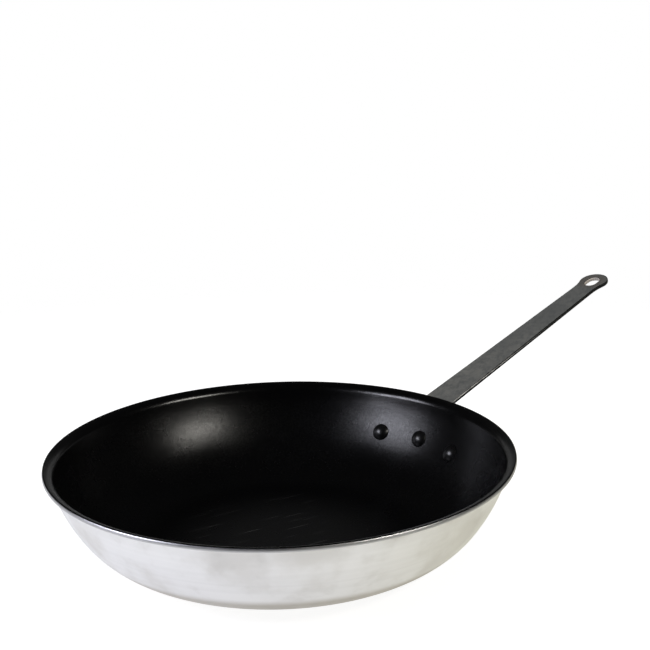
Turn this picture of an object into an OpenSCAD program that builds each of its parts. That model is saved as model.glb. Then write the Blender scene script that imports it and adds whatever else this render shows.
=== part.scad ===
// Omelette pan: a spun aluminium body with a flared lip, a non-stick coating inside it,
// and a flat steel handle held on by three rivets.
// The origin is the centre of the flat underside, +Z is up and the handle points along +X.

/* [Pan] */
// Diameter over the rim
rim_d = 356; // [320:1:400]
// Height of the rim above the surface that the pan stands on
pan_h = 75.5; // [62:0.5:92]
// Radius of the curve from the flat base into the side, on the bare face
side_r = 72; // [60:0.5:84]
// Slope at which it eases into the longer curve that goes on up to the lip, in degrees from level
join_slope = 55; // [45:0.5:60]
// Slope of the side where it meets the lip, in degrees from level
side_slope = 73.5; // [66:0.5:82]
// Thickness of the aluminium sheet
sheet_t = 3.2; // [2.6:0.1:4]
// Thickness of the non-stick coating
coat_t = 0.3; // [0.2:0.05:0.4]

/* [Rim] */
// Width of the lip, from the rim to the corner that it makes with the side
lip_w = 7.6; // [6:0.1:9]
// Slope of the lip, in degrees from level
lip_slope = 15; // [8:1:20]
// Radius of the bend between side and lip, on the coated face
lip_bend_r = 8.5; // [6:0.5:9]
// Rounding of the sheet's cut edge, on both its corners
rim_edge_r = 1.2; // [0.8:0.1:1.25]
// How far the coating wraps round the upper corner, in degrees
coat_wrap = 55; // [30:1:80]

/* [Handle] */
// Reach of the handle's tip from the pan's centre
handle_reach = 423.5; // [370:0.5:480]
// Thickness of the handle's steel
handle_t = 3.6; // [3:0.1:4.4]
// Slope of the strap, in degrees from level
strap_slope = 16; // [12:0.5:19]
// Depth of the strap's upper face below the top of the rim, straight under the rim's edge
strap_drop = 5; // [4.6:0.1:8]
// Radius of the bend from the side into the strap, on the upper face
strap_bend_r = 15; // [11:0.5:18]
// Width of the strap where it leaves the pan
strap_root_w = 29.2; // [24:0.2:34]
// Width of the strap at the neck, before the eye
strap_neck_w = 21.4; // [18:0.2:25]
// Length of the parallel neck before the eye's flare
neck_l = 6; // [4:0.5:20]

/* [Eye] */
// Diameter of the eye's round end
eye_d = 27; // [23:0.5:30]
// Radius of the flare from the neck into the eye
flare_r = 40; // [28:1:60]
// Length of the oval hanging hole
hole_l = 16.5; // [14:0.5:19]
// Width of the oval hanging hole
hole_w = 11; // [9:0.2:13]
// Distance of the hole's centre from the centre of the eye's round end, towards the pan
hole_set_back = 2.6; // [2:0.1:4]

/* [Bracket] */
// Depth below the top of the rim at which the outer rivets sit, on the bare side
rivet_drop = 36.2; // [33:0.2:39]
// How much higher the middle rivet sits
rivet_lift = 1.7; // [0:0.1:3]
// Angle between neighbouring rivets, in degrees round the pan
rivet_pitch = 14.35; // [12:0.05:16]
// Radius of the bracket's ends round the outer rivets
lug_r = 13; // [11:0.5:14]
// Radius of the fillets between the bracket and the strap
bracket_fillet_r = 9; // [5:0.5:10]
// Gap between bracket and side, where the lacquer on the steel is
seat_gap = 0.1; // [0.05:0.05:0.2]

/* [Rivets] */
// Diameter of a rivet's shank
shank_d = 6; // [5:0.1:7]
// Diameter of the domed head inside the pan
head_d = 14.3; // [12:0.1:16]
// Height of the domed head over the coating
head_h = 3.9; // [3:0.1:4.5]
// Diameter of the set head on the bracket
tail_d = 10.5; // [9:0.1:12]
// Height of the set head over the bracket
tail_h = 2.2; // [1.8:0.1:3]
// Upright wall round the foot of either head
head_skirt = 0.8; // [0.5:0.1:1.2]
// Clearance round a shank in its hole
shank_gap = 0.02; // [0.01:0.01:0.05]

/* [Hidden] */
$fn = 180;
// Steps in the curve from the base, in a bend and round a corner of the cut edge
curve_steps = 24;
bend_steps = 12;
corner_steps = 6;
wall_t = sheet_t + coat_t;

// Line between the centres of the roundings on the rim's two corners, and the upper centre
rim_step = (sheet_t - 2 * rim_edge_r) * along(lip_slope + 90);
rim_centre = [rim_d / 2 - rim_edge_r + rim_step[0], pan_h - rim_edge_r - coat_t];
// Corner that the coated faces of lip and side would make without their bend
lip_corner_r = rim_d / 2 - lip_w;
lip_corner_z = rim_centre[1] + (coat_t + rim_edge_r) / cos(lip_slope)
    - (rim_centre[0] - lip_corner_r) * tan(lip_slope);
lip_half_turn = (side_slope - lip_slope) / 2;
lip_bend_centre = [lip_corner_r, lip_corner_z]
    + lip_bend_r / cos(lip_half_turn) * along(side_slope - lip_half_turn - 90);

// The two curves of the side: the upper end, the height of the join, the longer one's radius and
// both centres, all on the bare face
side_end = lip_bend_centre + (lip_bend_r - wall_t) * along(side_slope + 90);
join_h = side_r * (1 - cos(join_slope));
upper_r = (side_end[1] - join_h) / (cos(join_slope) - cos(side_slope));
upper_centre = side_end + upper_r * along(side_slope + 90);
side_centre = upper_centre + (upper_r - side_r) * along(join_slope - 90);

// Centre of the bend from the side into the strap, at a depth square to the strap and at a
// distance along it from the centre of the side's upper curve
strap_bend_depth = ([rim_d / 2, pan_h - strap_drop] - upper_centre) * along(strap_slope + 90) - strap_bend_r;
strap_bend_reach = sqrt(pow(upper_r + seat_gap + strap_bend_r, 2) - pow(strap_bend_depth, 2));
strap_bend_centre = upper_centre + strap_bend_reach * along(strap_slope)
    + strap_bend_depth * along(strap_slope + 90);
// Slope of the side at which the bend starts
seat_end = strap_slope + 180 - acos(strap_bend_depth / (upper_r + seat_gap + strap_bend_r));
// Start of the strap's upper face, and the lengths from there
strap_start = strap_bend_centre + strap_bend_r * along(strap_slope + 90);
strap_l = (handle_reach - strap_start[0]) / cos(strap_slope) - handle_t * tan(strap_slope);
eye_l = strap_l - eye_d / 2;
flare_y = strap_neck_w / 2 + flare_r;
flare_l = eye_l - sqrt(pow(eye_d / 2 + flare_r, 2) - pow(flare_y, 2));
rivet_h = pan_h - rivet_drop;

function along(angle) = [cos(angle), sin(angle)];

// Slope of the bare side at a height, and its point at a slope
function slope_at(height) = height < join_h
    ? acos(1 - height / side_r) : acos((upper_centre[1] - height) / upper_r);
function side_at(slope) = slope < join_slope
    ? side_centre + side_r * along(slope - 90) : upper_centre + upper_r * along(slope - 90);
// Slope of the side at a rivet, where turn is -1, 0 or 1 from the left one to the right one
function rivet_slope(turn) = slope_at(rivet_h + (turn == 0 ? rivet_lift : 0));

// Points of an arc about a centre, from angle a0 to angle a1, without the ones before the first
function arc(centre, r, a0, a1, steps, first = 0) =
    [for (i = [first:steps]) centre + r * along(a0 + (a1 - a0) * i / steps)];

// Line at a distance outside the bare side, from a slope on its lower curve to one on its upper
function side_line(distance, from, to) = concat(
    arc(side_centre, side_r + distance, from - 90, join_slope - 90, curve_steps),
    arc(upper_centre, upper_r + distance, join_slope - 90, to - 90, bend_steps, 1)
);

// Line of the wall at a depth below its coated face, from the pan's centre to the flat of the lip
function wall_line(depth) = concat(
    [[0, wall_t - depth]],
    side_line(depth - wall_t, 0, side_slope),
    arc(lip_bend_centre, lip_bend_r - depth, side_slope + 90, lip_slope + 90, bend_steps, 1)
);

// Line of the handle's steel at a depth below its upper face: up the side and round the bend
function handle_line(depth) = concat(
    side_line(seat_gap + depth, slope_at(rivet_h - lug_r - handle_t), seat_end),
    arc(strap_bend_centre, strap_bend_r - depth, seat_end + 90, strap_slope + 90, bend_steps, 1)
);

function reversed(points) = [for (i = [len(points) - 1:-1:0]) points[i]];

// Section of the aluminium, with both corners of its cut edge rounded
module sheet_section() {
    polygon(concat(
        wall_line(wall_t),
        arc(rim_centre - rim_step, rim_edge_r, lip_slope - 90, lip_slope, corner_steps),
        arc(rim_centre, rim_edge_r, lip_slope, lip_slope + 90, corner_steps),
        reversed(wall_line(coat_t))
    ));
}

// Section of the coating, which wraps round the upper corner of the cut edge
module coating_section() {
    top = lip_slope + 90;
    polygon(concat(
        wall_line(coat_t),
        arc(rim_centre, rim_edge_r, top, top - coat_wrap, corner_steps),
        arc(rim_centre, rim_edge_r + coat_t, top - coat_wrap, top, corner_steps),
        reversed(wall_line(0))
    ));
}

// Section of the handle's steel, with the strap running on past the tip
module handle_section() {
    far_end = strap_start + (strap_l + eye_d) * along(strap_slope);
    polygon(concat(
        handle_line(handle_t),
        [far_end - handle_t * along(strap_slope + 90), far_end],
        reversed(handle_line(0))
    ));
}

// Outline of the handle seen from outside the pan: a bracket with round ends, and the strap's
// stem, whose sides run on past the tip
module bracket_outline() {
    lug_y = side_at(rivet_slope(1))[0] * sin(rivet_pitch);
    half_root = strap_root_w / 2;
    lap = 0.1;
    translate([-lug_y, rivet_h - lug_r])
        square([2 * lug_y, 2 * lug_r]);
    translate([-half_root, rivet_h])
        square([strap_root_w, handle_reach]);
    for (side = [-1, 1]) {
        translate([side * lug_y, rivet_h])
            circle(lug_r);
        translate([side * (half_root + bracket_fillet_r), rivet_h + lug_r + bracket_fillet_r])
            difference() {
                translate(-bracket_fillet_r / 2 * [side, 1])
                    square(bracket_fillet_r + 2 * lap, center = true);
                circle(bracket_fillet_r);
            }
    }
}

module hanging_hole() {
    half_run = (hole_l - hole_w) / 2;
    square([2 * half_run, hole_w], center = true);
    for (side = [-1, 1])
        translate([side * half_run, 0])
            circle(d = hole_w);
}

// Outline of the handle seen from above the strap, with x along it from its start: the strap
// and its eye, and room for the bracket behind the start
module strap_outline() {
    half_root = strap_root_w / 2;
    half_neck = strap_neck_w / 2;
    neck_start = flare_l - neck_l;
    room_end = -strap_bend_r / 4;
    half_room = half_neck + (half_root - half_neck) * (neck_start - room_end) / neck_start;
    flare_end = [flare_l, flare_y] + flare_r * [eye_l - flare_l, -flare_y] / (eye_d / 2 + flare_r);
    difference() {
        union() {
            polygon([
                [-pan_h, -pan_h], [room_end, -pan_h], [room_end, -half_room],
                [neck_start, -half_neck], [flare_l, -half_neck],
                [flare_l, half_neck], [neck_start, half_neck],
                [room_end, half_room], [room_end, pan_h], [-pan_h, pan_h]
            ]);
            difference() {
                polygon([
                    [flare_l, -half_neck], [flare_end[0], -flare_end[1]], [eye_l, 0],
                    flare_end, [flare_l, half_neck]
                ]);
                for (side = [-1, 1])
                    translate([flare_l, side * flare_y])
                        circle(flare_r);
            }
            translate([eye_l, 0])
                circle(d = eye_d);
        }
        translate([eye_l - hole_set_back, 0])
            hanging_hole();
    }
}

// Frame of a rivet: the child's origin is on the bare side and its +Z points into the pan
module at_rivet(turn) {
    slope = rivet_slope(turn);
    foot = side_at(slope);
    rotate([0, 0, turn * rivet_pitch])
        translate([foot[0], 0, foot[1]])
            rotate([0, -slope, 0])
                children();
}

module rivet_holes() {
    reach = 3 * handle_t;
    for (turn = [-1:1])
        at_rivet(turn)
            translate([0, 0, -reach])
                cylinder(d = shank_d + 2 * shank_gap, h = 2 * reach, $fn = 48);
}

// Domed head of a rivet on its upright skirt, with a root below it that is cut to the seat
module domed_head(width, height, root) {
    rise = height - head_skirt;
    dome_r = (pow(width / 2, 2) + pow(rise, 2)) / (2 * rise);
    intersection() {
        translate([0, 0, -root])
            cylinder(d = width, h = root + height + head_skirt, $fn = 64);
        translate([0, 0, height - dome_r])
            sphere(dome_r, $fn = 128);
    }
}

module pan_body() {
    color([0.82, 0.82, 0.83])
        difference() {
            rotate_extrude()
                sheet_section();
            rivet_holes();
        }
}

module nonstick_coating() {
    color([0.06, 0.06, 0.065])
        difference() {
            rotate_extrude()
                coating_section();
            rivet_holes();
        }
}

// Formed from one strip: its curved section, cut to its outlines from outside and from above
module handle() {
    half_sweep = rivet_pitch + 2 * asin(lug_r / side_at(rivet_slope(1))[0]);
    color([0.36, 0.36, 0.35])
        difference() {
            intersection() {
                rotate([0, 0, -half_sweep])
                    rotate_extrude(angle = 2 * half_sweep)
                        handle_section();
                rotate([90, 0, 90])
                    linear_extrude(handle_reach + eye_d)
                        bracket_outline();
                translate([strap_start[0], 0, strap_start[1]])
                    rotate([0, -strap_slope, 0])
                        translate([0, 0, -pan_h])
                            linear_extrude(2 * pan_h)
                                strap_outline();
            }
            rivet_holes();
        }
}

// One rivet: a domed head on the coating, a shank, and a set head on the bracket
module rivet(turn) {
    grip = wall_t + seat_gap + handle_t;
    bite = 1;
    color([0.1, 0.1, 0.105]) {
        at_rivet(turn)
            translate([0, 0, wall_t - grip - bite])
                cylinder(d = shank_d, h = grip + 2 * bite, $fn = 48);
        difference() {
            at_rivet(turn)
                translate([0, 0, wall_t])
                    domed_head(head_d, head_h, bite);
            rotate_extrude()
                polygon(concat(wall_line(wall_t), reversed(wall_line(0))));
        }
        difference() {
            at_rivet(turn)
                translate([0, 0, wall_t - grip])
                    rotate([180, 0, 0])
                        domed_head(tail_d, tail_h, bite);
            rotate_extrude()
                handle_section();
        }
    }
}

module rivet_left() {
    rivet(-1);
}

module rivet_middle() {
    rivet(0);
}

module rivet_right() {
    rivet(1);
}

pan_body();
nonstick_coating();
handle();
rivet_left();
rivet_middle();
rivet_right();
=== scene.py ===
"""Looks of the omelette pan: a spun aluminium body, its non-stick coating, a lacquered strip
handle and three rivets, on a pale floor under soft studio light."""
import math

import bpy
from mathutils import Matrix, Vector, geometry


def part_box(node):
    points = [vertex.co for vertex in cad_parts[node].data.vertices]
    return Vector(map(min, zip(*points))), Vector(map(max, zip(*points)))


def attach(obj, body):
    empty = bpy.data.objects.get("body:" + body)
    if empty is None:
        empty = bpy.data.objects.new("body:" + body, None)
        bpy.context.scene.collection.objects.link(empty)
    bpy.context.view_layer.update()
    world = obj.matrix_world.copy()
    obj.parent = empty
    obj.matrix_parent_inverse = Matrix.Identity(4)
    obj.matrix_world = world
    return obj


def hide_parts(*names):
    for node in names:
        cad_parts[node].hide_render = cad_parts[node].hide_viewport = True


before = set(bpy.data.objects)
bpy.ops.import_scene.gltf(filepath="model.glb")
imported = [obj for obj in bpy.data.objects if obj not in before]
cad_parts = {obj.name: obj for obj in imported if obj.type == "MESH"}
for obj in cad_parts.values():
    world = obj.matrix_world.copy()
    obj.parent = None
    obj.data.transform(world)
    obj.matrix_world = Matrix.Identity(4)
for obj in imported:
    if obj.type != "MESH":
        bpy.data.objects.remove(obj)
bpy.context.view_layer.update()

MM = 0.001
QUARTER = math.pi / 2

# Sizes in millimetres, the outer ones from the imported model
RIM_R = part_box("pan_body")[1].x / MM
PAN_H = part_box("nonstick_coating")[1].z / MM
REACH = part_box("handle")[1].x / MM
SIDE_R = 72
JOIN_SLOPE = math.radians(55)
SIDE_SLOPE = math.radians(73.5)
SHEET_T = 3.2
COAT_T = 0.3
WALL_T = SHEET_T + COAT_T
LIP_W = 7.6
LIP_SLOPE = math.radians(15)
LIP_BEND_R = 8.5
RIM_EDGE_R = 1.2
COAT_WRAP = math.radians(55)

HANDLE_T = 3.6
STRAP_SLOPE = math.radians(16)
STRAP_DROP = 5
STRAP_BEND_R = 15
STRAP_ROOT_W = 29.2
STRAP_NECK_W = 21.4
NECK_L = 6
EYE_R = 13.5
FLARE_R = 40
HOLE_L = 16.5
HOLE_W = 11
HOLE_SET_BACK = 2.6
STRIP_EDGE_R = 0.9

RIVET_H = PAN_H - 36.2
RIVET_LIFT = 1.7
RIVET_PITCH = math.radians(14.35)
LUG_R = 13
BRACKET_FILLET_R = 9
SEAT_GAP = 0.1
SHANK_R = 3
HEAD_R = 7.15
HEAD_H = 3.9
TAIL_R = 5.25
TAIL_H = 2.2
HEAD_SKIRT = 0.8
HEAD_ROUND = 0.9
HEAD_BITE = 1

# Fineness of the meshes: steps of the arcs, lengths of edges in millimetres, parts of a full turn
FLAT_STEPS = 8
SIDE_STEPS = 32
UPPER_STEPS = 16
LIP_STEPS = 18
RIM_STEPS = 8
LUG_STEPS = 24
FILLET_STEPS = 10
FLARE_STEPS = 14
EYE_STEPS = 26
HOLE_STEPS = 16
STRIP_EDGE_STEPS = 5
DOME_STEPS = 14
SHOULDER_STEPS = 8
BRACKET_EDGE_L = 1.6
STRAP_EDGE_L = 1.8
HOLE_EDGE_L = 1.4
TURNED_SEGMENTS = 256
RIVET_SEGMENTS = 64

# An edge longer than the wanted length by less than this share isn't divided again
STEP_SLACK = 0.01

# Grid of points on the strip's faces: spacing, rows on each side, least distance from an outline
STRIP_GRID = 3.0
STRIP_ROWS = 20
GRID_CLEARANCE = 0.45 * STRIP_GRID

# Points nearer than this are taken as one when a face is filled
WELD = 1e-6

# The search for a height on the bracket: how far down it starts, and how often the range is halved
BRACKET_L_LIMIT = 80.0
HALVINGS = 40


def toward(angle):
    """Unit vector at an angle above the horizontal."""
    return Vector((math.cos(angle), math.sin(angle)))


def arc(centre, radius, start, end, steps, first=0):
    """Points of an arc; first=1 leaves out its first point."""
    return [centre + radius * toward(start + (end - start) * i / steps) for i in range(first, steps + 1)]


# Centres and corners of the sections, as (radius, height) in millimetres
rim_step = (SHEET_T - 2 * RIM_EDGE_R) * toward(LIP_SLOPE + QUARTER)
rim_centre = Vector((RIM_R - RIM_EDGE_R + rim_step.x, PAN_H - RIM_EDGE_R - COAT_T))
lip_corner = Vector((RIM_R - LIP_W, 0))
lip_corner.y = (rim_centre.y + (COAT_T + RIM_EDGE_R) / math.cos(LIP_SLOPE)
                - (rim_centre.x - lip_corner.x) * math.tan(LIP_SLOPE))
lip_half_turn = (SIDE_SLOPE - LIP_SLOPE) / 2
lip_bend_centre = lip_corner + LIP_BEND_R / math.cos(lip_half_turn) * toward(
    SIDE_SLOPE - lip_half_turn - QUARTER)
side_end = lip_bend_centre + (LIP_BEND_R - WALL_T) * toward(SIDE_SLOPE + QUARTER)
join_h = SIDE_R * (1 - math.cos(JOIN_SLOPE))
upper_r = (side_end.y - join_h) / (math.cos(JOIN_SLOPE) - math.cos(SIDE_SLOPE))
upper_centre = side_end + upper_r * toward(SIDE_SLOPE + QUARTER)
side_centre = upper_centre + (upper_r - SIDE_R) * toward(JOIN_SLOPE - QUARTER)

bend_span = upper_r + SEAT_GAP + STRAP_BEND_R
strap_bend_depth = (Vector((RIM_R, PAN_H - STRAP_DROP)) - upper_centre).dot(
    toward(STRAP_SLOPE + QUARTER)) - STRAP_BEND_R
strap_bend_centre = (upper_centre + strap_bend_depth * toward(STRAP_SLOPE + QUARTER)
                     + math.sqrt(bend_span ** 2 - strap_bend_depth ** 2) * toward(STRAP_SLOPE))
seat_end = STRAP_SLOPE + 2 * QUARTER - math.acos(strap_bend_depth / bend_span)
strap_start = strap_bend_centre + STRAP_BEND_R * toward(STRAP_SLOPE + QUARTER)
strap_l = (REACH - strap_start.x) / math.cos(STRAP_SLOPE) - HANDLE_T * math.tan(STRAP_SLOPE)
eye_l = strap_l - EYE_R
flare_y = STRAP_NECK_W / 2 + FLARE_R
flare_l = eye_l - math.sqrt((EYE_R + FLARE_R) ** 2 - flare_y ** 2)


def slope_at(height):
    """Slope of the bare side at a height."""
    if height < join_h:
        return math.acos(1 - height / SIDE_R)
    return math.acos((upper_centre.y - height) / upper_r)


def side_at(slope, distance=0):
    """Point at a distance outside the bare side, where it has a slope."""
    if slope < JOIN_SLOPE:
        return side_centre + (SIDE_R + distance) * toward(slope - QUARTER)
    return upper_centre + (upper_r + distance) * toward(slope - QUARTER)


# Meshes

def mesh_piece(name, points, faces, material, slot, stands_for):
    """A smooth piece from points in millimetres, which rides on the body and stands for a CAD node."""
    mesh = bpy.data.meshes.new(name)
    mesh.from_pydata([Vector(p) * MM for p in points], [], faces)
    mesh.validate()
    mesh.shade_smooth()
    piece = bpy.data.objects.new(name, mesh)
    bpy.context.scene.collection.objects.link(piece)
    mesh.materials.append(material)
    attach(piece, "root")
    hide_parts(stands_for)
    return piece


def lathe(outline, segments, place=Matrix.Identity(4)):
    """Points and faces of a closed solid turned about Z, from an outline that starts and ends on the axis."""
    points = [place @ Vector((0, 0, outline[0].y))]
    rings = outline[1:-1]
    for p in rings:
        for i in range(segments):
            turn = 2 * math.pi * i / segments
            points.append(place @ Vector((p.x * math.cos(turn), p.x * math.sin(turn), p.y)))
    points.append(place @ Vector((0, 0, outline[-1].y)))
    last = len(points) - 1
    faces = []
    for i in range(segments):
        j = (i + 1) % segments
        faces.append((0, 1 + j, 1 + i))
        for k in range(len(rings) - 1):
            a, b = 1 + k * segments, 1 + (k + 1) * segments
            faces.append((a + i, a + j, b + j, b + i))
        a = 1 + (len(rings) - 1) * segments
        faces.append((a + i, a + j, last))
    return points, faces


def wall_line(depth):
    """The wall at a depth below its coated face, from the pan's centre to the flat of the lip."""
    return ([Vector((side_centre.x * i / FLAT_STEPS, WALL_T - depth)) for i in range(FLAT_STEPS)]
            + [side_at(JOIN_SLOPE * i / SIDE_STEPS, depth - WALL_T) for i in range(SIDE_STEPS)]
            + arc(upper_centre, upper_r - WALL_T + depth, JOIN_SLOPE - QUARTER, SIDE_SLOPE - QUARTER,
                  UPPER_STEPS)
            + arc(lip_bend_centre, LIP_BEND_R - depth, SIDE_SLOPE + QUARTER, LIP_SLOPE + QUARTER,
                  LIP_STEPS, 1))


def body_outline():
    """The bare sheet: outside, rounded cut edge, inside."""
    return (wall_line(WALL_T)
            + arc(rim_centre - rim_step, RIM_EDGE_R, LIP_SLOPE - QUARTER, LIP_SLOPE, RIM_STEPS)
            + arc(rim_centre, RIM_EDGE_R, LIP_SLOPE, LIP_SLOPE + QUARTER, RIM_STEPS)
            + wall_line(COAT_T)[::-1])


def coating_outline():
    """The coating: its seat on the sheet, its end round the rim's edge, its free face."""
    top = LIP_SLOPE + QUARTER
    return (wall_line(COAT_T)
            + arc(rim_centre, RIM_EDGE_R, top, top - COAT_WRAP, RIM_STEPS)
            + arc(rim_centre, RIM_EDGE_R + COAT_T, top - COAT_WRAP, top, RIM_STEPS)
            + wall_line(0)[::-1])


# The handle's strip: s runs along it from the strap's start, y across it and depth through it

bend_start_s = -STRAP_BEND_R * (seat_end - STRAP_SLOPE)
join_s = bend_start_s - (upper_r + SEAT_GAP) * (seat_end - JOIN_SLOPE)


def strip_line(s, depth):
    """(radius, height) on the strip's section."""
    if s > 0:
        return strap_start + s * toward(STRAP_SLOPE) + depth * toward(STRAP_SLOPE - QUARTER)
    if s > bend_start_s:
        return strap_bend_centre + (STRAP_BEND_R - depth) * toward(STRAP_SLOPE + QUARTER - s / STRAP_BEND_R)
    if s > join_s:
        return side_at(seat_end + (s - bend_start_s) / (upper_r + SEAT_GAP), SEAT_GAP + depth)
    return side_at(JOIN_SLOPE + (s - join_s) / (SIDE_R + SEAT_GAP), SEAT_GAP + depth)


def strip_point(s, y, depth):
    """The strip's point in space: its section is turned about the pan's axis by y."""
    p = strip_line(s, depth)
    return Vector((math.sqrt(p.x * p.x - y * y), y, p.y))


def s_at(height):
    """Where the strip's middle reaches a height on the bracket."""
    low, high = -BRACKET_L_LIMIT, 0.0
    for _ in range(HALVINGS):
        middle = (low + high) / 2
        if strip_line(middle, HANDLE_T / 2).y < height:
            low = middle
        else:
            high = middle
    return low


def spaced(points, step):
    """The same open line with a point about every step."""
    out = [points[0]]
    for a, b in zip(points, points[1:]):
        n = math.ceil((b - a).length / step - STEP_SLACK)
        out += [a.lerp(b, i / n) for i in range(1, n + 1)]
    return out


def strip_outline():
    """The strip's outline as (s, y), anticlockwise, ending in the middle of the bracket's foot."""
    lug_y = side_at(slope_at(RIVET_H)).x * math.sin(RIVET_PITCH)
    half_root = STRAP_ROOT_W / 2
    shoulder = RIVET_H + LUG_R
    fillet_centre = Vector((half_root + BRACKET_FILLET_R, shoulder + BRACKET_FILLET_R))
    bracket = [Vector((0, RIVET_H - LUG_R))]
    bracket += arc(Vector((lug_y, RIVET_H)), LUG_R, -QUARTER, QUARTER, LUG_STEPS)
    bracket += arc(fillet_centre, BRACKET_FILLET_R, -QUARTER, -2 * QUARTER, FILLET_STEPS)
    bracket = [Vector((s_at(p.y), p.x)) for p in spaced(bracket, BRACKET_EDGE_L)]
    turn = math.acos((eye_l - flare_l) / (EYE_R + FLARE_R))
    strap = [bracket[-1], Vector((0, half_root)), Vector((flare_l - NECK_L, STRAP_NECK_W / 2))]
    strap += arc(Vector((flare_l, flare_y)), FLARE_R, -QUARTER, -turn, FLARE_STEPS)
    strap += arc(Vector((eye_l, 0)), EYE_R, math.pi - turn, 0, EYE_STEPS)
    half = bracket[:-1] + spaced(strap, STRAP_EDGE_L)
    return [Vector((p.x, -p.y)) for p in half[1:-1]] + half[::-1]


def hole_outline():
    """The eye's oval hole as (s, y)."""
    run = (HOLE_L - HOLE_W) / 2
    centre = eye_l - HOLE_SET_BACK
    right = arc(Vector((centre + run, 0)), HOLE_W / 2, -QUARTER, QUARTER, HOLE_STEPS)
    left = arc(Vector((centre - run, 0)), HOLE_W / 2, QUARTER, 3 * QUARTER, HOLE_STEPS)
    return spaced(right + left + right[:1], HOLE_EDGE_L)[:-1]


def inward(loop, side):
    """Unit normals of a closed loop, to the left of its direction for side 1."""
    out = []
    for i, p in enumerate(loop):
        way = (loop[(i + 1) % len(loop)] - loop[i - 1]).normalized()
        out.append(Vector((-way.y, way.x)) * side)
    return out


def inside(p, loop):
    """Whether a point lies in a closed loop, by the count of edges to its right."""
    odd = False
    for a, b in zip(loop, loop[1:] + loop[:1]):
        if (a.y > p.y) != (b.y > p.y) and p.x < a.x + (p.y - a.y) / (b.y - a.y) * (b.x - a.x):
            odd = not odd
    return odd


def ring_edges(start, count):
    """Edges that join points in a row to a closed ring."""
    return [(start + i, start + (i + 1) % count) for i in range(count)]


def strip_cover(low_s, outer, hole):
    """Points and triangles of a flat face between two outlines, with a grid of points from low_s on."""
    flat = outer + hole
    edges = ring_edges(0, len(outer)) + ring_edges(len(outer), len(hole))
    for i in range(int((eye_l + EYE_R - low_s) / STRIP_GRID) + 2):
        for j in range(-STRIP_ROWS, STRIP_ROWS + 1):
            p = Vector((low_s + (i + (j % 2) / 2) * STRIP_GRID, j * STRIP_GRID))
            near = min((p - q).length for q in outer + hole)
            if near > GRID_CLEARANCE and inside(p, outer) and not inside(p, hole):
                flat.append(p)
    corners, _, triangles = geometry.delaunay_2d_cdt(flat, edges, [], 0, WELD)[:3]
    if len(corners) != len(flat):
        raise ValueError("the handle's outline crosses itself")
    middles = [sum((corners[i] for i in triangle), Vector((0, 0))) / 3 for triangle in triangles]
    return flat, [triangle for triangle, middle in zip(triangles, middles)
                  if inside(middle, outer) and not inside(middle, hole)]


def edge_rows():
    """(inset, depth) of the rows of points round the strip's rounded edges, from one face to the other."""
    turns = [QUARTER * k / STRIP_EDGE_STEPS for k in range(1, STRIP_EDGE_STEPS + 1)]
    rows = [(STRIP_EDGE_R * (1 - math.sin(turn)), STRIP_EDGE_R * (1 - math.cos(turn))) for turn in turns]
    return rows + [(inset, HANDLE_T - depth) for inset, depth in rows[::-1]]


def band(before, after):
    """Faces between two closed rows of points."""
    n = len(before)
    return [(before[(i + 1) % n], before[i], after[i], after[(i + 1) % n]) for i in range(n)]


def handle_mesh():
    """Two flat faces inside the outlines, and rounded sides between them."""
    outer, hole = strip_outline(), hole_outline()
    loops = [(outer, inward(outer, 1)), (hole, inward(hole, -1))]
    insets = [[p + STRIP_EDGE_R * normal for p, normal in zip(*loop)] for loop in loops]
    flat, cover = strip_cover(min(p.x for p in outer), *insets)
    count = len(flat)
    points = [strip_point(p.x, p.y, depth) for depth in (0, HANDLE_T) for p in flat]
    faces = [(a, b, c) for a, b, c in cover] + [(c + count, b + count, a + count) for a, b, c in cover]
    start = 0
    for loop, normals in loops:
        n = len(loop)
        before = list(range(start, start + n))
        for inset, depth in edge_rows():
            after = list(range(len(points), len(points) + n))
            for p, normal in zip(loop, normals):
                q = p + inset * normal
                points.append(strip_point(q.x, q.y, depth))
            faces += band(before, after)
            before = after
        faces += band(before, list(range(count + start, count + start + n)))
        start += n
    return points, faces


def domed(radius, height, base):
    """Half outline of a head from crown to foot, with a rounded shoulder; base is its seat's level."""
    rise = height - HEAD_SKIRT
    dome_r = (radius ** 2 + rise ** 2) / (2 * rise)
    centre = Vector((0, base + height - dome_r))
    shoulder = Vector((radius - HEAD_ROUND, 0))
    shoulder.y = centre.y + math.sqrt((dome_r - HEAD_ROUND) ** 2 - shoulder.x ** 2)
    turn = math.atan2(shoulder.y - centre.y, shoulder.x)
    return (arc(centre, dome_r, QUARTER, turn, DOME_STEPS)
            + arc(shoulder, HEAD_ROUND, turn, 0, SHOULDER_STEPS, 1))


def rivet_mesh(turn):
    """The left rivet for -1, the middle one for 0 and the right one for 1."""
    slope = slope_at(RIVET_H + (0 if turn else RIVET_LIFT))
    foot = side_at(slope)
    place = (Matrix.Rotation(turn * RIVET_PITCH, 4, "Z")
             @ Matrix.Translation((foot.x, 0, foot.y))
             @ Matrix.Rotation(-slope, 4, "Y"))
    seat = SEAT_GAP + HANDLE_T
    head = domed(HEAD_R, HEAD_H, WALL_T)
    tail = [Vector((p.x, -p.y)) for p in domed(TAIL_R, TAIL_H, seat)]
    shank = [Vector((HEAD_R, WALL_T - HEAD_BITE)), Vector((SHANK_R, WALL_T - HEAD_BITE)),
             Vector((SHANK_R, HEAD_BITE - seat)), Vector((TAIL_R, HEAD_BITE - seat))]
    return lathe((head + shank + tail[::-1])[::-1], RIVET_SEGMENTS, place)


# Materials: noises are scaled in features per metre and vary round 0.5, and spans pick out their levels

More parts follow.
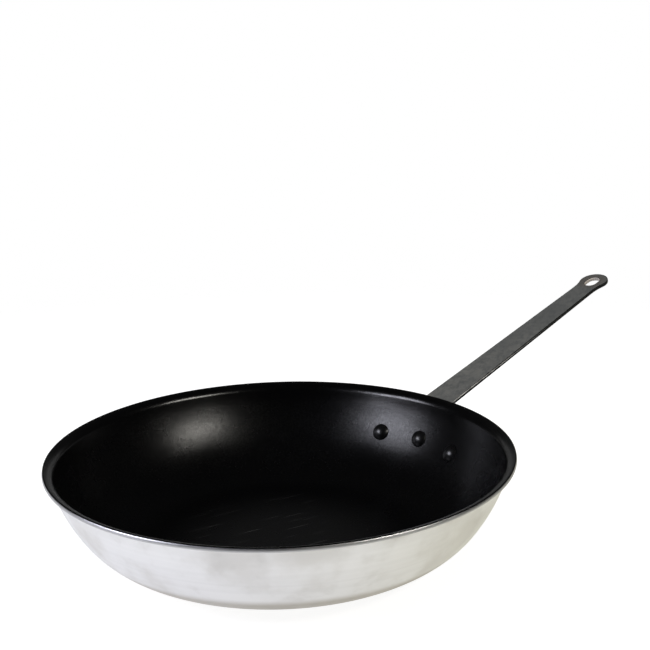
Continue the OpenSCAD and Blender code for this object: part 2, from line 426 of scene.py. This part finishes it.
class Nodes:
    """Short ways to add and link the nodes of a material or a world."""

    def __init__(self, owner, shader="Principled BSDF"):
        owner.use_nodes = True
        self.owner = owner
        self.tree = owner.node_tree
        self.shader = self.tree.nodes[shader]
        coordinates = self.add("ShaderNodeTexCoord").outputs
        self.place, self.normal = coordinates["Object"], coordinates["Normal"]
        self.way = coordinates["Generated"]

    def add(self, kind, **settings):
        node = self.tree.nodes.new(kind)
        for key, value in settings.items():
            setattr(node, key, value)
        return node

    def link(self, source, target):
        """Give an input a value, or the output of a node."""
        if isinstance(source, (int, float, tuple, Vector)):
            target.default_value = source
        else:
            self.tree.links.new(source, target)

    def put(self, node, **values):
        """Values or links for the inputs of a node; _ stands for the blank in a name."""
        for key, value in values.items():
            self.link(value, node.inputs[key.replace("_", " ")])
        return node

    def set(self, **values):
        self.put(self.shader, **values)

    def math(self, operation, *values):
        node = self.add("ShaderNodeMath", operation=operation)
        for socket, value in zip(node.inputs, values):
            self.link(value, socket)
        return node.outputs[0]

    def along(self, vector, way):
        """How far a vector reaches in a direction."""
        node = self.add("ShaderNodeVectorMath", operation="DOT_PRODUCT")
        self.link(vector, node.inputs[0])
        self.link(way, node.inputs[1])
        return node.outputs["Value"]

    def distance(self, point):
        """Distance from a point of the part."""
        node = self.add("ShaderNodeVectorMath", operation="DISTANCE")
        self.link(self.place, node.inputs[0])
        self.link(point, node.inputs[1])
        return node.outputs["Value"]

    def combined(self, x, y, z=0.0):
        return self.put(self.add("ShaderNodeCombineXYZ"), X=x, Y=y, Z=z).outputs[0]

    def noise(self, where, scale, detail=3.0, roughness=0.55):
        node = self.put(self.add("ShaderNodeTexNoise"), Vector=where, Scale=scale, Detail=detail,
                        Roughness=roughness)
        return node.outputs["Fac"]

    def lines(self, distance, scale, detail):
        """Noise that changes with one distance only."""
        node = self.put(self.add("ShaderNodeTexNoise", noise_dimensions="1D"), W=distance, Scale=scale,
                        Detail=detail, Roughness=0.6)
        return node.outputs["Fac"]

    def stretched(self, x, y, z):
        return self.put(self.add("ShaderNodeMapping"), Vector=self.place, Scale=(x, y, z)).outputs["Vector"]

    def span(self, value, low, high, to_low=0.0, to_high=1.0):
        """Goes smoothly from one level to another while a value goes from low to high."""
        node = self.add("ShaderNodeMapRange", interpolation_type="SMOOTHSTEP")
        for socket, v in zip(node.inputs, (value, low, high, to_low, to_high)):
            self.link(v, socket)
        return node.outputs["Result"]

    def mix(self, factor, a, b):
        node = self.put(self.add("ShaderNodeMix", data_type="RGBA"), Factor=factor, A=a, B=b)
        return node.outputs["Result"]

    def bump(self, height, strength, distance):
        node = self.put(self.add("ShaderNodeBump"), Height=height, Strength=strength, Distance=distance)
        return node.outputs["Normal"]

    def polar(self):
        """Distance from the pan's axis, and height."""
        parts = self.add("ShaderNodeSeparateXYZ")
        self.link(self.place, parts.inputs[0])
        length = self.add("ShaderNodeVectorMath", operation="LENGTH")
        self.link(self.combined(parts.outputs["X"], parts.outputs["Y"]), length.inputs[0])
        return length.outputs["Value"], parts.outputs["Z"]

    def rays(self):
        """Whether a ray comes from the camera, and whether from a mirroring or clear surface."""
        path = self.add("ShaderNodeLightPath").outputs
        return path["Is Camera Ray"], self.math("MAXIMUM", path["Is Glossy Ray"], path["Is Transmission Ray"])


def colour(red, green, blue):
    return (red, green, blue, 1.0)


# Colours of the finishes, in linear light
WHITE = colour(1.0, 1.0, 1.0)
ALUMINIUM_CLEAN = colour(0.87, 0.87, 0.875)
ALUMINIUM_SMUDGED = colour(0.76, 0.75, 0.735)
ALUMINIUM_BLOTCHED = colour(0.66, 0.65, 0.63)
ALUMINIUM_BAND = colour(0.74, 0.74, 0.74)
# Painted shade at the pan's foot, tinted brown
ALUMINIUM_FOOT_SHADE = colour(0.5, 0.475, 0.43)
ALUMINIUM_CUT = colour(0.55, 0.55, 0.56)
NONSTICK_BLACK = colour(0.0006, 0.0006, 0.0007)
NONSTICK_FLECK = colour(0.002, 0.002, 0.0021)
NONSTICK_WORN = colour(0.0043, 0.0043, 0.0044)
NONSTICK_SCRATCH = colour(0.03, 0.03, 0.03)
LACQUER_DARK = colour(0.064, 0.065, 0.062)
LACQUER_LIGHT = colour(0.092, 0.091, 0.084)
LACQUER_MOTTLE = colour(0.05, 0.052, 0.051)
LACQUER_BRUSHED = colour(0.105, 0.105, 0.102)
LACQUER_FAR = colour(0.054, 0.057, 0.058)
# Painted shade of the strap's cut sides
LACQUER_SIDE_SHADE = colour(0.005, 0.0052, 0.0054)
LACQUER_GRIME = colour(0.06, 0.048, 0.038)
# Painted highlight line on the strap's cut sides, bright near the pan and dull far from it
HIGHLIGHT_LINE_BRIGHT = colour(0.55, 0.55, 0.54)
HIGHLIGHT_LINE_DULL = colour(0.035, 0.035, 0.035)
STEEL_BARE = colour(0.5, 0.47, 0.44)
STEEL_STAINED = colour(0.42, 0.36, 0.31)
RIVET_BLACK = colour(0.0012, 0.0012, 0.0013)
RIVET_FLECK = colour(0.004, 0.004, 0.0043)

# Places on the finishes, in millimetres: each pair is where a change starts and where it ends
CUT_R = (RIM_R - 1.3, RIM_R - 0.9)
FOOT_SHADE_H = (17, 26)
WORN_FLOOR_R = (25, 106)
GLOSSY_LIP_R = (RIM_R - 14, RIM_R - 9)
FAR_GREY_X = (200, 400)
STRAP_SIDE_SHADE_X = (183, 190)
HIGHLIGHT_LINE_X = (210, 340)
HIGHLIGHT_LINE_LIFT_X = (200, 280)
HIGHLIGHT_LINE_TOP = (0.6, 0.9)
HIGHLIGHT_LINE_FOOT = (1.4, 1.8)
BARE_HOLE_R = (9.3, 10.2)
GRIME_R = (9, 17)

# How much higher the painted highlight line lies near the pan, in millimetres
HIGHLIGHT_LINE_LIFT = 0.5

# Scratches are noise stretched along one direction: steps of it per metre, along and across them
SCRATCH_WAY = (15.5, -3.9, 0)
SCRATCH_ACROSS = (150, 600, 0)


def metres(pair):
    """Two lengths in millimetres, turned into metres."""
    return pair[0] * MM, pair[1] * MM


def aluminium_material():
    """Bright metal with turning rings and smudges, a dull cut edge, and painted shade that darkens the foot
    and tints it brown.
    """
    m = Nodes(bpy.data.materials.new("spun_aluminium"))
    radius, height = m.polar()
    line = m.math("ADD", radius, height)
    rings = m.lines(line, 900, 4)
    bands = m.lines(line, 90, 2)
    smudge = m.noise(m.place, 22, 4)
    blotch = m.noise(m.place, 48)
    tone = m.mix(m.span(smudge, 0.38, 0.66), ALUMINIUM_CLEAN, ALUMINIUM_SMUDGED)
    tone = m.mix(m.span(blotch, 0.52, 0.75, 0.0, 0.4), tone, ALUMINIUM_BLOTCHED)
    tone = m.mix(m.span(bands, 0.3, 0.75, 0.0, 0.25), tone, ALUMINIUM_BAND)
    # Painted shade: darker and browner towards the foot
    tone = m.mix(m.span(height, *metres(FOOT_SHADE_H), 1.0, 0.0), tone, ALUMINIUM_FOOT_SHADE)
    tone = m.mix(m.span(radius, *metres(CUT_R)), tone, ALUMINIUM_CUT)
    rough = m.math("ADD", m.span(smudge, 0.3, 0.75, 0.36, 0.46), m.span(blotch, 0.3, 0.8, -0.03, 0.05))
    m.set(Base_Color=tone, Metallic=1.0, Roughness=rough, Normal=m.bump(rings, 0.25, 0.00006))
    m.set(Anisotropic=0.4, Anisotropic_Rotation=0.25)
    return m.owner


def nonstick_material():
    """Black with a fine speckle; the floor is worn greyer and scratched, and the lip is glossier."""
    m = Nodes(bpy.data.materials.new("nonstick"))
    grain = m.noise(m.place, 750, 2, 0.7)
    clouds = m.noise(m.place, 35, 4)
    fleck = m.noise(m.place, 2600, 1)
    radius, _ = m.polar()
    worn = m.span(radius, *metres(WORN_FLOOR_R), 1.0, 0.0)
    lip = m.span(radius, *metres(GLOSSY_LIP_R))
    scratch_place = m.combined(m.along(m.place, SCRATCH_WAY), m.along(m.place, SCRATCH_ACROSS))
    scratch = m.span(m.noise(scratch_place, 1, 1), 0.68, 0.75)
    tone = m.mix(m.span(fleck, 0.55, 0.8), NONSTICK_BLACK, NONSTICK_FLECK)
    tone = m.mix(worn, tone, NONSTICK_WORN)
    tone = m.mix(m.math("MULTIPLY", worn, scratch), tone, NONSTICK_SCRATCH)
    rough = m.math("MULTIPLY", m.span(clouds, 0.3, 0.7, 0.255, 0.295), m.span(lip, 0, 1, 1.0, 0.75))
    speckle = m.span(m.noise(m.place, 600, 2, 0.7), 0.35, 0.65, 0.37, 0.63)
    sheen = m.math("MULTIPLY", speckle, m.span(lip, 0, 1, 1.0, 1.5))
    m.set(Base_Color=tone, Roughness=rough, Normal=m.bump(grain, 0.5, 0.00014))
    m.set(Specular_IOR_Level=sheen, IOR=1.37)
    return m.owner


def side_highlight_line(m, reach, mottle, across):
    """A painted highlight along the strap's cut sides: where its one line lies and how bright it is,
    brightest near the pan.
    """
    top = strap_start.dot(toward(STRAP_SLOPE + QUARTER)) * MM
    depth = m.math("SUBTRACT", top, m.along(m.place, across))
    depth = m.math("ADD", depth, m.span(reach, *metres(HIGHLIGHT_LINE_LIFT_X), HIGHLIGHT_LINE_LIFT * MM, 0.0))
    line = m.math("MULTIPLY", m.span(depth, *metres(HIGHLIGHT_LINE_TOP)),
                  m.span(depth, *metres(HIGHLIGHT_LINE_FOOT), 1.0, 0.0))
    line = m.math("MULTIPLY", line, m.span(mottle, 0.4, 0.6, 1.0, 0.5))
    return line, m.mix(m.span(reach, *metres(HIGHLIGHT_LINE_X)), HIGHLIGHT_LINE_BRIGHT, HIGHLIGHT_LINE_DULL)


def lacquer_material():
    """Mottled grey lacquer with painted shade on the strap's cut sides and a painted highlight line along
    them, and worn to the steel round the hole.
    """
    m = Nodes(bpy.data.materials.new("handle_lacquer"))
    fine = m.noise(m.stretched(0.25, 1, 1), 900)
    grain = m.noise(m.place, 1400, 2)
    patches = m.noise(m.place, 30, 4)
    mottle = m.noise(m.place, 170, 3, 0.65)
    patchy = m.span(patches, 0.35, 0.65)
    reach = m.along(m.place, (1, 0, 0))
    tone = m.mix(patchy, LACQUER_DARK, LACQUER_LIGHT)
    tone = m.mix(m.span(mottle, 0.42, 0.6, 0.0, 0.9), tone, LACQUER_MOTTLE)
    tone = m.mix(m.span(fine, 0.4, 0.7, 0.0, 0.6), tone, LACQUER_BRUSHED)
    tone = m.mix(m.span(reach, *metres(FAR_GREY_X), 0.0, 0.5), tone, LACQUER_FAR)

    across = (-math.sin(STRAP_SLOPE), 0, math.cos(STRAP_SLOPE))
    facing = m.math("ABSOLUTE", m.along(m.normal, across))
    # Painted shade: the strap's cut sides get a near-black colour and a weak sheen
    side = m.math("MULTIPLY", m.span(facing, 0.75, 0.99, 1.0, 0.0), m.span(reach, *metres(STRAP_SIDE_SHADE_X)))
    # Painted highlight: a light line along the cut sides
    line, highlight_tone = side_highlight_line(m, reach, mottle, across)

    hole = strap_start + (eye_l - HOLE_SET_BACK) * toward(STRAP_SLOPE)
    away = m.distance((hole.x * MM, 0, hole.y * MM))
    bare = m.math("MULTIPLY", m.span(facing, 0.5, 0.85, 1.0, 0.0),
                  m.span(away, *metres(BARE_HOLE_R), 1.0, 0.0))
    tone = m.mix(m.span(away, *metres(GRIME_R), 0.35, 0.0), tone, LACQUER_GRIME)
    tone = m.mix(side, tone, m.mix(line, LACQUER_SIDE_SHADE, highlight_tone))
    tone = m.mix(bare, tone, m.mix(patchy, STEEL_BARE, STEEL_STAINED))
    m.set(Base_Color=tone, Roughness=m.span(patches, 0.3, 0.7, 0.42, 0.52))
    m.set(Specular_IOR_Level=m.span(side, 0, 1, 0.5, 0.04), Normal=m.bump(grain, 0.4, 0.00008))
    return m.owner


def rivet_material():
    """Black heads with a fine grain."""
    m = Nodes(bpy.data.materials.new("rivet_black"))
    grain = m.noise(m.place, 1600, 2)
    m.set(Base_Color=m.mix(m.span(grain, 0.45, 0.8), RIVET_BLACK, RIVET_FLECK))
    m.set(Roughness=m.span(grain, 0.3, 0.7, 0.27, 0.32), Normal=m.bump(grain, 0.3, 0.00005))
    return m.owner


# Pieces

aluminium = aluminium_material()
nonstick = nonstick_material()
lacquer = lacquer_material()
rivet_black = rivet_material()

mesh_piece("spun_body", *lathe(body_outline(), TURNED_SEGMENTS), aluminium, "spun_aluminium", "pan_body")
mesh_piece("inner_coating", *lathe(coating_outline(), TURNED_SEGMENTS), nonstick, "nonstick",
           "nonstick_coating")
strap = mesh_piece("formed_handle", *handle_mesh(), lacquer, "handle_steel", "handle")
flatten = strap.modifiers.new("flat_faces", "WEIGHTED_NORMAL")
flatten.weight = 100
for turn, side in ((-1, "left"), (0, "middle"), (1, "right")):
    mesh_piece("rivet_head_" + side, *rivet_mesh(turn), rivet_black, "rivet", "rivet_" + side)


# Camera, at the photograph's viewing angle; lens and sensor in millimetres, the rest in metres

HANDLE_TURN = math.radians(44.01)
LOOK_DOWN = math.radians(14.65)
ROLL = math.radians(-1.309)
CAMERA_DISTANCE = 0.98743
AIM = Vector((0.04256, -0.00785, 0.16664))
LENS = 72
SENSOR_W = 36
NEAREST_SEEN = 0.05
FARTHEST_SEEN = 50

turn_back = Matrix.Rotation(-HANDLE_TURN, 3, "Z")


def heading(azimuth, elevation):
    """Direction from the pan: azimuth clockwise from straight away from the camera, both in degrees."""
    a, e = math.radians(azimuth), math.radians(elevation)
    return turn_back @ Vector((math.sin(a) * math.cos(e), math.cos(a) * math.cos(e), math.sin(e)))


look = turn_back @ Vector((0, math.cos(LOOK_DOWN), -math.sin(LOOK_DOWN)))
level_right = turn_back @ Vector((1, 0, 0))
level_up = level_right.cross(look)
right = math.cos(ROLL) * level_right + math.sin(ROLL) * level_up
up = math.cos(ROLL) * level_up - math.sin(ROLL) * level_right
camera = bpy.data.objects.new("camera", bpy.data.cameras.new("camera"))
camera.data.lens = LENS
camera.data.sensor_width = SENSOR_W
camera.data.clip_start = NEAREST_SEEN
camera.data.clip_end = FARTHEST_SEEN
axes = Matrix((right, up, -look)).transposed()
camera.matrix_world = Matrix.Translation(AIM - CAMERA_DISTANCE * look) @ axes.to_4x4()
bpy.context.scene.collection.objects.link(camera)
bpy.context.scene.camera = camera


# Stage: lamps, floor and world, in metres

LAMP_AIM = Vector((0, 0, 0.04))
CARD_DISTANCE = 1.7
FILL_DISTANCE = 1.2
WARM = (1.0, 0.97, 0.9)
COOL = (0.88, 0.89, 1.0)
PALE_COOL = (0.93, 0.96, 1.0)
NEUTRAL = (1.0, 1.0, 1.0)

# Name, azimuth, elevation, distance, width, height, power, tint, whether mirrors show it
LAMPS = (
    ("warm_softbox", 122.9, 36.5, CARD_DISTANCE, 0.715, 0.274, 9.8, WARM, True),
    ("cool_softbox", -108.1, 29.7, CARD_DISTANCE, 0.928, 0.542, 17.6, COOL, True),
    ("back_card", 0, 13, CARD_DISTANCE, 1.4, 0.25, 0.28, NEUTRAL, True),
    ("cool_fill", -90, 74, FILL_DISTANCE, 0.7, 0.7, 7.5, PALE_COOL, False),
    ("warm_fill", 90, 74, FILL_DISTANCE, 0.7, 0.7, 7.5, WARM, False),
)


def area_lamp(name, azimuth, elevation, distance, width, height, power, tint, mirrored):
    """A lamp aimed at the pan; one that isn't mirrored lights the matt surfaces only."""
    data = bpy.data.lights.new(name, "AREA")
    data.shape = "RECTANGLE"
    data.size = width
    data.size_y = height
    data.energy = power
    data.color = tint
    lamp = bpy.data.objects.new(name, data)
    way = heading(azimuth, elevation)
    lamp.location = LAMP_AIM + distance * way
    lamp.rotation_euler = way.to_track_quat("Z", "Y").to_euler()
    lamp.visible_glossy = mirrored
    bpy.context.scene.collection.objects.link(lamp)


for lamp in LAMPS:
    area_lamp(*lamp)

# The floor's own light as the camera sees it, where the floor begins to fade out, and where it is gone
FLOOR_GLOW = 0.88
FLOOR_SEEN = 0.3
FLOOR_GONE = 0.9
HALF_FLOOR = 6
FLOOR_DARKER = colour(0.29, 0.29, 0.29)
FLOOR_LIGHTER = colour(0.31, 0.31, 0.31)
MIRRORED_COOL = colour(0.965, 0.965, 1.0)
MIRRORED_WARM = colour(1.0, 0.965, 0.7)

# Levels of the floor's light in mirrors, each with the two places in metres between which it changes
GLOW_LEFT = 0.4
GLOW_RIGHT = 0.145
GLOW_ACROSS = (-0.45, 0.45)
GLOW_NEAR = 0.36
GLOW_NEAR_R = (0.15, 0.34)
GLOW_CLOSE = 0.1
GLOW_CLOSE_R = (0.12, 0.17)
GLOW_BEHIND = 0.6
GLOW_BEHIND_Y = (0.25, 0.5)
TINT_ACROSS = (-0.1, 0.35)

# Levels of the world's light in front of the pan and behind it, and what mirrors show less of it
WORLD_DIM = (0.04, 0.08)
WORLD_LESS = (0.03, 0.055)
WORLD_AHEAD = (-0.5, 0.7)

# The backdrop's foot in mirrors: its level, and the directions ahead and upward between which it changes
FOOT_LIGHT = 0.8
FOOT_AHEAD = (0.2, 0.8)
FOOT_UPWARD = (0.0, 0.08)

floor_mesh = bpy.data.meshes.new("floor")
floor_mesh.from_pydata([(-HALF_FLOOR, -HALF_FLOOR, 0), (HALF_FLOOR, -HALF_FLOOR, 0),
                        (HALF_FLOOR, HALF_FLOOR, 0), (-HALF_FLOOR, HALF_FLOOR, 0)], [], [(0, 1, 2, 3)])
floor = bpy.data.objects.new("floor", floor_mesh)
bpy.context.scene.collection.objects.link(floor)


def mirrored_glow(m, radius, across):
    """The floor's painted glow in mirrors: stronger near the pan and far behind it, weaker on the right."""
    level = m.math("ADD", m.span(across, *GLOW_ACROSS, GLOW_LEFT, GLOW_RIGHT),
                   m.span(radius, *GLOW_NEAR_R, GLOW_NEAR, 0.0))
    level = m.math("ADD", level, m.span(radius, *GLOW_CLOSE_R, GLOW_CLOSE, 0.0))
    behind = m.along(m.place, heading(0, 0))
    return m.math("ADD", level, m.span(behind, *GLOW_BEHIND_Y, 0.0, GLOW_BEHIND))


def floor_material():
    """White to the camera and fading into the backdrop; to mirrors it glows with painted light, cool on the
    left and warm on the right.
    """
    m = Nodes(bpy.data.materials.new("pale_floor"))
    grain = m.noise(m.place, 300)
    m.set(Base_Color=m.mix(grain, FLOOR_DARKER, FLOOR_LIGHTER), Roughness=0.9, Specular_IOR_Level=0.1)
    camera_ray, mirrored = m.rays()
    radius, _ = m.polar()
    across = m.along(m.place, level_right)
    tint = m.mix(m.span(across, *TINT_ACROSS), MIRRORED_COOL, MIRRORED_WARM)
    level = m.math("MULTIPLY", mirrored, mirrored_glow(m, radius, across))
    glow = m.put(m.add("ShaderNodeEmission"), Color=m.mix(camera_ray, tint, WHITE),
                 Strength=m.math("MULTIPLY_ADD", camera_ray, FLOOR_GLOW, level))
    both = m.add("ShaderNodeAddShader")
    m.link(m.shader.outputs[0], both.inputs[0])
    m.link(glow.outputs[0], both.inputs[1])
    fade = m.add("ShaderNodeMixShader")
    m.link(m.math("MULTIPLY", camera_ray, m.span(radius, FLOOR_SEEN, FLOOR_GONE)), fade.inputs[0])
    m.link(both.outputs[0], fade.inputs[1])
    m.link(m.add("ShaderNodeBsdfTransparent").outputs[0], fade.inputs[2])
    m.link(fade.outputs[0], m.tree.nodes["Material Output"].inputs["Surface"])
    return m.owner


def studio_world():
    """White to the camera, dim to all else, but light again where mirrors show the backdrop's foot."""
    m = Nodes(bpy.data.worlds.new("studio"), "Background")
    camera_ray, mirrored = m.rays()
    ahead = m.along(m.way, heading(0, 0))
    upward = m.along(m.way, (0, 0, 1))
    foot = m.math("MULTIPLY", m.span(ahead, *FOOT_AHEAD), m.span(upward, *FOOT_UPWARD, FOOT_LIGHT, 0.0))
    dim = m.span(ahead, *WORLD_AHEAD, *WORLD_DIM)
    less = m.span(ahead, *WORLD_AHEAD, *WORLD_LESS)
    level = m.math("ADD", dim, m.math("MULTIPLY", mirrored, m.math("SUBTRACT", foot, less)))
    m.set(Color=WHITE, Strength=m.math("MAXIMUM", camera_ray, level))
    return m.owner


floor_mesh.materials.append(floor_material())
bpy.context.scene.world = studio_world()
bpy.context.scene.view_settings.view_transform = "Standard"
